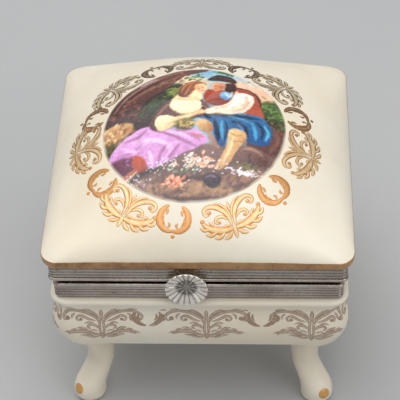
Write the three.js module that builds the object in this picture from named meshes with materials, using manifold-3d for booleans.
// Hinged porcelain trinket box on four cabriole legs.
// Millimetres, +Z up. The clasp faces -Y and the hinge is at the back, on +Y.
// The origin is on the floor, under the middle of the box.

import * as THREE from 'three';
import { mergeVertices } from 'three/addons/utils/BufferGeometryUtils.js';
import Module from 'manifold-3d';

// Overall sizes
const LID_WIDTH = 86; // along X, over the gilded rim
const LID_DEPTH = 86; // along Y, over the gilded rim
const CORNER_RADIUS = 6; // plan corners of the lid
const LEG_HEIGHT = 26.7;
const BOWL_HEIGHT = 19.7; // from the underside of the bowl to its shoulder
const RIM_HEIGHT = 2.4; // upright gilded edge of the lid
const DOME_RISE = 21;

// Clearance between pieces that touch
const SEAT_GAP = 0.3;

// Shape of the dome: the plan power squares it up, the edge power rounds its shoulder
const DOME_PLAN_POWER = 1.7;
const DOME_EDGE_POWER = 0.6;

// Walls of the two porcelain pieces
const LID_WALL = 3.2; // measured straight down through the dome
const LID_NECK_WALL = 2.6;
const BOWL_WALL = 2.9;
const BOWL_FLOOR = 3.2;
const CAVITY_FILLET = 1.4;
const SMALLEST_CORNER = 1.5;

// Metal mounts: a reeded band around each mouth, bedded in cement
const BASE_BAND_HEIGHT = 5.4;
const LID_BAND_HEIGHT = 5.8;
const MOUNT_GAP = 1.9; // open line between the two bands when the lid is shut
const LID_BAND_INSET = 2.2; // outer face of the upper band inside the lid's edge
const BASE_BAND_INSET = 3.1;
const SHEET = 0.6;
const REED_DEPTH = 0.25;
const REED_COUNT = 4;
const LIP_HEIGHT = 1.1; // plain polished lip beside the gap
const LIP_STEP = 0.2; // how far the lip stands proud of the reeds
const CEMENT_WALL = 0.95;

// Hinge
const HINGE_WIDTH = 36;
const KNUCKLE_COUNT = 5;
const KNUCKLE_RADIUS = 1.3;
const HINGE_AXIS_OUT = 2.2; // axis behind the upper band
const PIN_RADIUS = 0.5;
const LEAF_SHEET = 0.6;

// Clasp, set a little to the left of the middle
const CLASP_X = -3.0;
const CLASP_RADIUS = 5.9;
const CLASP_DROP = 6.4; // centre of the dish below the lid's rim
const CLASP_DEPTH = 1.6;
const CLASP_SHEET = 0.6;
const FLUTE_COUNT = 20;
const FLUTE_DEPTH = 0.45;
const SPRING_WIDTH = 6.5;
const SPRING_SHEET = 0.5;
const HOOK_REACH = 0.6;
const HOOK_HEIGHT = 0.8;
const CATCH_WIDTH = 5;
const CATCH_HEIGHT = 1.1;
const CATCH_DROP = 2.4; // top of the catch below the top of the lower band
const RIVET_RADIUS = 0.6;
const RIVET_HEAD_RADIUS = 1.3;
const RIVET_HEAD_HEIGHT = 0.6;

// Legs
const LEG_INSET = 12.7; // ankle centre inside the lid's edge, along X and along Y
const LEG_SIDES = 20;
// Height as a share of the leg, how far the leg leans outward, and its two half widths
const LEG_SECTIONS = [
  [0, 4.5, 3.9, 3.7],
  [0.035, 4.8, 4.6, 4.3],
  [0.11, 5.0, 4.9, 4.5],
  [0.205, 4.4, 4.8, 4.4],
  [0.32, 2.4, 4.3, 4.1],
  [0.45, 0.3, 3.9, 3.9],
  [0.6, -0.2, 3.9, 4.0],
  [0.75, 0.2, 4.4, 4.5],
  [0.9, 1.2, 5.5, 5.6],
  [1, 2.0, 6.5, 6.5],
];

// Facets of the lofted pieces
const CORNER_STEPS = 4;
const DOME_SIDE_STEPS = 8;
const DOME_RINGS = [0.15, 0.32, 0.48, 0.63, 0.76, 0.87, 0.95];

// Levels, stacked from the floor up
const bowlBottomZ = LEG_HEIGHT + SEAT_GAP;
const shoulderZ = bowlBottomZ + BOWL_HEIGHT;
const baseBandBottomZ = shoulderZ + SEAT_GAP;
const baseBandTopZ = baseBandBottomZ + BASE_BAND_HEIGHT;
const lidBandBottomZ = baseBandTopZ + MOUNT_GAP;
const lidBandTopZ = lidBandBottomZ + LID_BAND_HEIGHT;
const rimBottomZ = lidBandTopZ + SEAT_GAP;
const rimTopZ = rimBottomZ + RIM_HEIGHT;
const baseNeckTopZ = baseBandTopZ - SHEET - SEAT_GAP;
const lidNeckBottomZ = lidBandBottomZ + SHEET + SEAT_GAP;
const hingeAxisZ = baseBandTopZ + MOUNT_GAP / 2;

// Insets of the stacked layers inside the lid's edge
const bandToNeck = REED_DEPTH + SHEET + SEAT_GAP + CEMENT_WALL + SEAT_GAP;
const lidNeckInset = LID_BAND_INSET + bandToNeck;
const baseNeckInset = BASE_BAND_INSET + bandToNeck;
const lidInnerInset = lidNeckInset + LID_NECK_WALL;
const bowlInnerInset = baseNeckInset + BOWL_WALL;

// Places of the hinge and the clasp along Y
const hingeAxisY = LID_DEPTH / 2 - LID_BAND_INSET + HINGE_AXIS_OUT;
const springBackY = -(LID_DEPTH / 2 - LID_BAND_INSET + LIP_STEP + SEAT_GAP);
const springFrontY = springBackY - SPRING_SHEET;
const dishBackY = springFrontY - SEAT_GAP;
const claspZ = rimBottomZ - CLASP_DROP;

const wasm = await Module();
wasm.setup();

const porcelain = { color: 0xeee5d0, roughness: 0.18, metalness: 0 };
const plated = { color: 0xb9b6ae, roughness: 0.3, metalness: 1 };
const plaster = { color: 0xcfc8ba, roughness: 0.9, metalness: 0 };

function solidFrom(geometry) {
  const bare = geometry.clone();
  bare.deleteAttribute('normal');
  bare.deleteAttribute('uv');
  const merged = mergeVertices(bare, 1e-4);
  const vertProperties = new Float32Array(merged.attributes.position.array);
  const triVerts = new Uint32Array(merged.index.array);
  return new wasm.Manifold(new wasm.Mesh({ numProp: 3, vertProperties, triVerts }));
}

function geometryFrom(solid) {
  const mesh = solid.getMesh();
  const geometry = new THREE.BufferGeometry();
  geometry.setAttribute('position', new THREE.BufferAttribute(mesh.vertProperties, 3));
  geometry.setIndex(new THREE.BufferAttribute(mesh.triVerts, 1));
  geometry.computeVertexNormals();
  return geometry;
}

function cut(geometry, ...tools) {
  let solid = solidFrom(geometry);
  for (const tool of tools) {
    solid = solid.subtract(solidFrom(tool));
  }
  return geometryFrom(solid);
}

function join(...geometries) {
  return geometryFrom(geometries.map(solidFrom).reduce((whole, piece) => whole.add(piece)));
}

function box(x0, x1, y0, y1, z0, z1) {
  const geometry = new THREE.BoxGeometry(x1 - x0, y1 - y0, z1 - z0);
  geometry.translate((x0 + x1) / 2, (y0 + y1) / 2, (z0 + z1) / 2);
  return geometry;
}

// A rounded rectangle at one level, drawn a given distance inside the lid's edge
function outline(inset, z, cornerRadius = CORNER_RADIUS - inset, sideSteps = 1) {
  const radius = Math.max(cornerRadius, SMALLEST_CORNER);
  const centreX = LID_WIDTH / 2 - inset - radius;
  const centreY = LID_DEPTH / 2 - inset - radius;
  const corners = [[1, 1], [-1, 1], [-1, -1], [1, -1]];
  const arcs = corners.map(([signX, signY], quarter) => {
    const arc = [];
    for (let step = 0; step <= CORNER_STEPS; step += 1) {
      const angle = (quarter + step / CORNER_STEPS) * Math.PI / 2;
      const x = signX * centreX + radius * Math.cos(angle);
      const y = signY * centreY + radius * Math.sin(angle);
      arc.push(new THREE.Vector3(x, y, z));
    }
    return arc;
  });
  const ring = [];
  arcs.forEach((arc, quarter) => {
    const next = arcs[(quarter + 1) % arcs.length][0];
    const last = arc[arc.length - 1];
    ring.push(...arc);
    for (let step = 1; step < sideSteps; step += 1) {
      ring.push(last.clone().lerp(next, step / sideSteps));
    }
  });
  return ring;
}

// Skin through rings of equal length. With two tips the ends close on them,
// without them the last ring joins the first.
function loft(rings, tips = null) {
  const count = rings[0].length;
  const positions = rings.flat().flatMap((point) => point.toArray());
  const triangles = [];
  const pairs = tips ? rings.length - 1 : rings.length;
  for (let row = 0; row < pairs; row += 1) {
    const below = row * count;
    const above = ((row + 1) % rings.length) * count;
    for (let side = 0; side < count; side += 1) {
      const next = (side + 1) % count;
      triangles.push(below + side, below + next, above + next);
      triangles.push(below + side, above + next, above + side);
    }
  }
  if (tips) {
    const firstTip = positions.length / 3;
    const lastRow = (rings.length - 1) * count;
    positions.push(...tips[0].toArray(), ...tips[1].toArray());
    for (let side = 0; side < count; side += 1) {
      const next = (side + 1) % count;
      triangles.push(firstTip, next, side);
      triangles.push(firstTip + 1, lastRow + side, lastRow + next);
    }
  }
  const geometry = new THREE.BufferGeometry();
  geometry.setAttribute('position', new THREE.Float32BufferAttribute(positions, 3));
  geometry.setIndex(triangles);
  return faceOut(geometry);
}

// Turn every triangle over when the skin was wound inside out
function faceOut(geometry) {
  const place = geometry.attributes.position;
  const index = geometry.index.array;
  const corner = [new THREE.Vector3(), new THREE.Vector3(), new THREE.Vector3()];
  let volume = 0;
  for (let at = 0; at < index.length; at += 3) {
    corner.forEach((point, side) => point.fromBufferAttribute(place, index[at + side]));
    volume += corner[0].dot(corner[1].clone().cross(corner[2]));
  }
  if (volume < 0) {
    for (let at = 0; at < index.length; at += 3) {
      [index[at + 1], index[at + 2]] = [index[at + 2], index[at + 1]];
    }
  }
  geometry.computeVertexNormals();
  return geometry;
}

function domeHeight(x, y) {
  const across = Math.min(Math.abs(x) / (LID_WIDTH / 2), 1) ** DOME_PLAN_POWER;
  const along = Math.min(Math.abs(y) / (LID_DEPTH / 2), 1) ** DOME_PLAN_POWER;
  return rimTopZ + DOME_RISE * ((1 - across) * (1 - along)) ** DOME_EDGE_POWER;
}

// A plan outline shrunk toward the middle and laid on the dome, or under it
function domeRing(inset, share, depth) {
  return outline(inset, 0, CORNER_RADIUS - inset, DOME_SIDE_STEPS).map((point) => {
    const x = point.x * share;
    const y = point.y * share;
    return new THREE.Vector3(x, y, domeHeight(x, y) - depth);
  });
}

function lidShell() {
  const ring = (inset, z) => outline(inset, z, CORNER_RADIUS - inset, DOME_SIDE_STEPS);
  const edgeRound = 0.4;
  const rings = [
    ...DOME_RINGS.map((share) => domeRing(0, share, 0)),
    ring(edgeRound, rimTopZ + edgeRound),
    ring(0, rimTopZ - edgeRound),
    ring(0, rimBottomZ + edgeRound),
    ring(edgeRound, rimBottomZ),
    ring(lidNeckInset, rimBottomZ),
    ring(lidNeckInset, lidNeckBottomZ),
    ring(lidInnerInset, lidNeckBottomZ),
    ring(lidInnerInset, rimBottomZ),
    domeRing(lidInnerInset, 1, LID_WALL),
    ...DOME_RINGS.toReversed().map((share) => domeRing(lidInnerInset, share, LID_WALL)),
  ];
  const crownZ = domeHeight(0, 0);
  return loft(rings, [new THREE.Vector3(0, 0, crownZ), new THREE.Vector3(0, 0, crownZ - LID_WALL)]);
}

function bowl() {
  // Share of the bowl's height, inset and plan corner radius, from the underside up
  const outside = [
    [0, 4.5, 7], [0.03, 3.6, 7], [0.13, 2.7, 7], [0.25, 2.0, 6.5], [0.41, 1.6, 6], [0.56, 1.9, 6],
    [0.71, 2.7, 6], [0.81, 2.9, 6], [0.89, 2.3, 5.5], [0.94, 1.7, 5], [0.975, 1.6, 5], [1, 2.1, 5],
  ];
  const rings = [
    ...outside.map(([share, inset, corner]) => outline(inset, bowlBottomZ + share * BOWL_HEIGHT, corner)),
    outline(baseNeckInset, shoulderZ),
    outline(baseNeckInset, baseNeckTopZ),
    outline(bowlInnerInset, baseNeckTopZ),
    outline(bowlInnerInset, bowlBottomZ + BOWL_FLOOR + CAVITY_FILLET),
    outline(bowlInnerInset + CAVITY_FILLET, bowlBottomZ + BOWL_FLOOR),
  ];
  const underside = new THREE.Vector3(0, 0, bowlBottomZ);
  const floor = new THREE.Vector3(0, 0, bowlBottomZ + BOWL_FLOOR);
  return loft(rings, [underside, floor]);
}

// Profile of one band as [inset, height above its outer end], the plain lip and
// flange at the gap end. The same profile serves both bands, one of them upside down.
function bandProfile(outerInset, height, innerInset) {
  const valley = outerInset + REED_DEPTH;
  const inside = valley + SHEET;
  const reedPitch = (height - LIP_HEIGHT) / REED_COUNT;
  const profile = [[inside, 0]];
  for (let reed = 0; reed < REED_COUNT; reed += 1) {
    profile.push([valley, reed * reedPitch]);
    profile.push([outerInset, (reed + 0.35) * reedPitch]);
    profile.push([outerInset, (reed + 0.65) * reedPitch]);
  }
  profile.push([valley, height - LIP_HEIGHT]);
  profile.push([outerInset - LIP_STEP, height - LIP_HEIGHT]);
  profile.push([outerInset - LIP_STEP, height]);
  profile.push([innerInset, height]);
  profile.push([innerInset, height - SHEET]);
  profile.push([inside, height - SHEET]);
  return profile;
}

function band(outerInset, height, innerInset, zAt) {
  const profile = bandProfile(outerInset, height, innerInset);
  return loft(profile.map(([inset, up]) => outline(inset, zAt(up))));
}

// Cement filling the space between a band's sheet and the porcelain neck
function cementBed(bandInset, lowZ, highZ) {
  const outer = bandInset + REED_DEPTH + SHEET + SEAT_GAP;
  const inner = outer + CEMENT_WALL;
  return loft([outline(outer, lowZ), outline(outer, highZ), outline(inner, highZ), outline(inner, lowZ)]);
}

// One leg about its ankle, +X pointing out through the corner of the box
function leg() {
  const rings = LEG_SECTIONS.map(([share, lean, halfOut, halfAcross]) => {
    const ring = [];
    for (let side = 0; side < LEG_SIDES; side += 1) {
      const angle = side / LEG_SIDES * Math.PI * 2;
      const x = lean + halfOut * Math.cos(angle);
      ring.push(new THREE.Vector3(x, halfAcross * Math.sin(angle), share * LEG_HEIGHT));
    }
    return ring;
  });
  const soleLean = LEG_SECTIONS[0][1];
  const topLean = LEG_SECTIONS[LEG_SECTIONS.length - 1][1];
  return loft(rings, [new THREE.Vector3(soleLean, 0, 0), new THREE.Vector3(topLean, 0, LEG_HEIGHT)]);
}

// A round bar along X, centred on the hinge axis
function hingeBar(radius, width, sides) {
  const bar = new THREE.CylinderGeometry(radius, radius, width, sides);
  bar.rotateZ(Math.PI / 2);
  bar.translate(0, hingeAxisY, hingeAxisZ);
  return bar;
}

// One leaf: a plate on the back of a band, and the knuckles of one parity.
// The plate steps in to meet its band and stays clear of the other leaf's knuckles.
function hingeLeaf(bandInset, towardLid) {
  const bandBackY = LID_DEPTH / 2 - bandInset;
  const plateInY = bandBackY + LIP_STEP + SEAT_GAP;
  const plateOutY = hingeAxisY - KNUCKLE_RADIUS + LEAF_SHEET;
  const reach = towardLid ? lidBandTopZ - hingeAxisZ : hingeAxisZ - baseBandBottomZ;
  const side = towardLid ? 1 : -1;
  const zSpan = (from, to) => [hingeAxisZ + side * from, hingeAxisZ + side * to].sort((a, b) => a - b);
  const pitch = HINGE_WIDTH / KNUCKLE_COUNT;
  const half = HINGE_WIDTH / 2;
  const clearOfGap = MOUNT_GAP / 2 + SEAT_GAP;
  const plate = join(
    box(-half, half, plateInY, plateOutY, ...zSpan(clearOfGap, reach)),
    box(-half, half, plateOutY - LEAF_SHEET, plateOutY, ...zSpan(0, reach)),
    hingeBar(KNUCKLE_RADIUS, HINGE_WIDTH, 20),
  );
  const tools = [hingeBar(PIN_RADIUS + SEAT_GAP, HINGE_WIDTH + 2, 16)];
  for (let knuckle = 0; knuckle < KNUCKLE_COUNT; knuckle += 1) {
    const mine = (knuckle % 2 === 1) === towardLid;
    if (!mine) {
      const x0 = -half + knuckle * pitch - (knuckle === 0 ? 1 : SEAT_GAP / 2);
      const x1 = -half + (knuckle + 1) * pitch + (knuckle === KNUCKLE_COUNT - 1 ? 1 : SEAT_GAP / 2);
      const clear = KNUCKLE_RADIUS + SEAT_GAP;
      tools.push(box(x0, x1, bandBackY - 2, hingeAxisY + clear, ...zSpan(-clear, clear)));
    }
  }
  return cut(plate, ...tools);
}

// A disc or drum with its axis along Y, from one Y to another
function drum(radius, y0, y1, x, z, sides) {
  const geometry = new THREE.CylinderGeometry(radius, radius, Math.abs(y1 - y0), sides);
  geometry.translate(0, (y0 + y1) / 2, 0);
  geometry.translate(x, 0, z);
  return geometry;
}

// Shallow fluted dish, hollow side facing out, about its own centre and facing -Y
function claspDish() {
  const steps = FLUTE_COUNT * 4;
  const ring = (radius, out, fluting) => {
    const points = [];
    for (let step = 0; step < steps; step += 1) {
      const angle = step / steps * Math.PI * 2;
      const wave = Math.abs(Math.cos(angle * FLUTE_COUNT / 2));
      const r = radius - fluting * FLUTE_DEPTH * (1 - wave);
      const y = -out - fluting * FLUTE_DEPTH * 0.5 * wave;
      points.push(new THREE.Vector3(r * Math.cos(angle), y, r * Math.sin(angle)));
    }
    return points;
  };
  const rim = CLASP_DEPTH + CLASP_SHEET;
  const rings = [
    ring(CLASP_RADIUS * 0.38, CLASP_SHEET, 0),
    ring(CLASP_RADIUS * 0.62, CLASP_SHEET + CLASP_DEPTH * 0.25, 0.35),
    ring(CLASP_RADIUS * 0.84, CLASP_SHEET + CLASP_DEPTH * 0.6, 0.8),
    ring(CLASP_RADIUS, rim - FLUTE_DEPTH / 2, 1),
    ring(CLASP_RADIUS, rim - CLASP_SHEET - FLUTE_DEPTH / 2, 1),
    ring(CLASP_RADIUS * 0.8, CLASP_DEPTH * 0.4, 0.6),
    ring(CLASP_RADIUS * 0.45, 0, 0),
  ];
  const dish = loft(rings, [new THREE.Vector3(0, -CLASP_SHEET, 0), new THREE.Vector3(0, 0, 0)]);
  return cut(dish, drum(RIVET_RADIUS + SEAT_GAP, 1, -rim, 0, 0, 16));
}

// Upright spring strip with a hook turned in under the catch
function claspSpring() {
  const hookTopZ = baseBandTopZ - CATCH_DROP - CATCH_HEIGHT - SEAT_GAP;
  const hookBottomZ = hookTopZ - HOOK_HEIGHT;
  const shape = new THREE.Shape();
  shape.moveTo(springFrontY, hookBottomZ);
  shape.lineTo(springBackY + HOOK_REACH, hookBottomZ);
  shape.lineTo(springBackY + HOOK_REACH, hookTopZ);
  shape.lineTo(springBackY, hookTopZ);
  shape.lineTo(springBackY, lidBandTopZ - SEAT_GAP);
  shape.lineTo(springFrontY, lidBandTopZ - SEAT_GAP);
  shape.closePath();
  const strip = new THREE.ExtrudeGeometry(shape, { depth: SPRING_WIDTH, bevelEnabled: false });
  // The shape is drawn with Y as its first axis and Z as its second
  strip.applyMatrix4(new THREE.Matrix4().set(0, 0, 1, 0, 1, 0, 0, 0, 0, 1, 0, 0, 0, 0, 0, 1));
  strip.translate(CLASP_X - SPRING_WIDTH / 2, 0, 0);
  return cut(strip, drum(RIVET_RADIUS + SEAT_GAP, springBackY + 1, springFrontY - 1, CLASP_X, claspZ, 16));
}

// Rivet about the middle of the dish's back, turned about Y
function claspRivet() {
  const shankBack = SPRING_SHEET + SEAT_GAP;
  const headBack = CLASP_SHEET + SEAT_GAP;
  const profile = [
    new THREE.Vector2(0, -shankBack),
    new THREE.Vector2(RIVET_RADIUS, -shankBack),
    new THREE.Vector2(RIVET_RADIUS, headBack),
    new THREE.Vector2(RIVET_HEAD_RADIUS, headBack),
    new THREE.Vector2(RIVET_HEAD_RADIUS * 0.8, headBack + RIVET_HEAD_HEIGHT * 0.7),
    new THREE.Vector2(0, headBack + RIVET_HEAD_HEIGHT),
  ];
  const rivet = new THREE.LatheGeometry(profile, 16);
  rivet.rotateX(Math.PI);
  return rivet;
}

function catchBar() {
  const outY = springBackY + SEAT_GAP;
  const backY = -(LID_DEPTH / 2 - BASE_BAND_INSET + SEAT_GAP);
  const topZ = baseBandTopZ - CATCH_DROP;
  return box(CLASP_X - CATCH_WIDTH / 2, CLASP_X + CATCH_WIDTH / 2, outY, backY, topZ - CATCH_HEIGHT, topZ);
}

function named(name, geometry, finish) {
  const mesh = new THREE.Mesh(geometry, new THREE.MeshStandardMaterial(finish));
  mesh.name = name;
  return mesh;
}

const trinketBox = new THREE.Group();

const base = new THREE.Group();
base.add(named('body_bowl', bowl(), porcelain));
const baseFlange = bowlInnerInset - SEAT_GAP;
const baseBand = band(BASE_BAND_INSET, BASE_BAND_HEIGHT, baseFlange, (up) => baseBandBottomZ + up);
base.add(named('base_rim_band', baseBand, plated));
base.add(named('base_mount_cement', cementBed(BASE_BAND_INSET, baseBandBottomZ, baseNeckTopZ), plaster));
base.add(named('hinge_leaf_base', hingeLeaf(BASE_BAND_INSET, false), plated));
base.add(named('hinge_pin', hingeBar(PIN_RADIUS, HINGE_WIDTH, 12), plated));
base.add(named('catch_bar', catchBar(), plated));

const corners = [['front_right', 1, -1], ['rear_right', 1, 1], ['rear_left', -1, 1], ['front_left', -1, -1]];
for (const [place, signX, signY] of corners) {
  const piece = named(`leg_${place}`, leg(), porcelain);
  piece.position.set(signX * (LID_WIDTH / 2 - LEG_INSET), signY * (LID_DEPTH / 2 - LEG_INSET), 0);
  piece.rotation.z = Math.atan2(signY, signX);
  base.add(piece);
}
trinketBox.add(base);

const lid = new THREE.Group();
lid.add(named('lid_shell', lidShell(), porcelain));
const lidFlange = lidInnerInset - SEAT_GAP;
const lidBand = band(LID_BAND_INSET, LID_BAND_HEIGHT, lidFlange, (up) => lidBandTopZ - up);
lid.add(named('lid_rim_band', lidBand, plated));
lid.add(named('lid_mount_cement', cementBed(LID_BAND_INSET, lidNeckBottomZ, lidBandTopZ), plaster));
lid.add(named('hinge_leaf_lid', hingeLeaf(LID_BAND_INSET, true), plated));
trinketBox.add(lid);

const clasp = new THREE.Group();
clasp.add(named('clasp_spring', claspSpring(), plated));
for (const [name, geometry] of [['clasp_dish', claspDish()], ['clasp_rivet', claspRivet()]]) {
  const piece = named(name, geometry, plated);
  piece.position.set(CLASP_X, dishBackY, claspZ);
  clasp.add(piece);
}
trinketBox.add(clasp);

export default trinketBox;
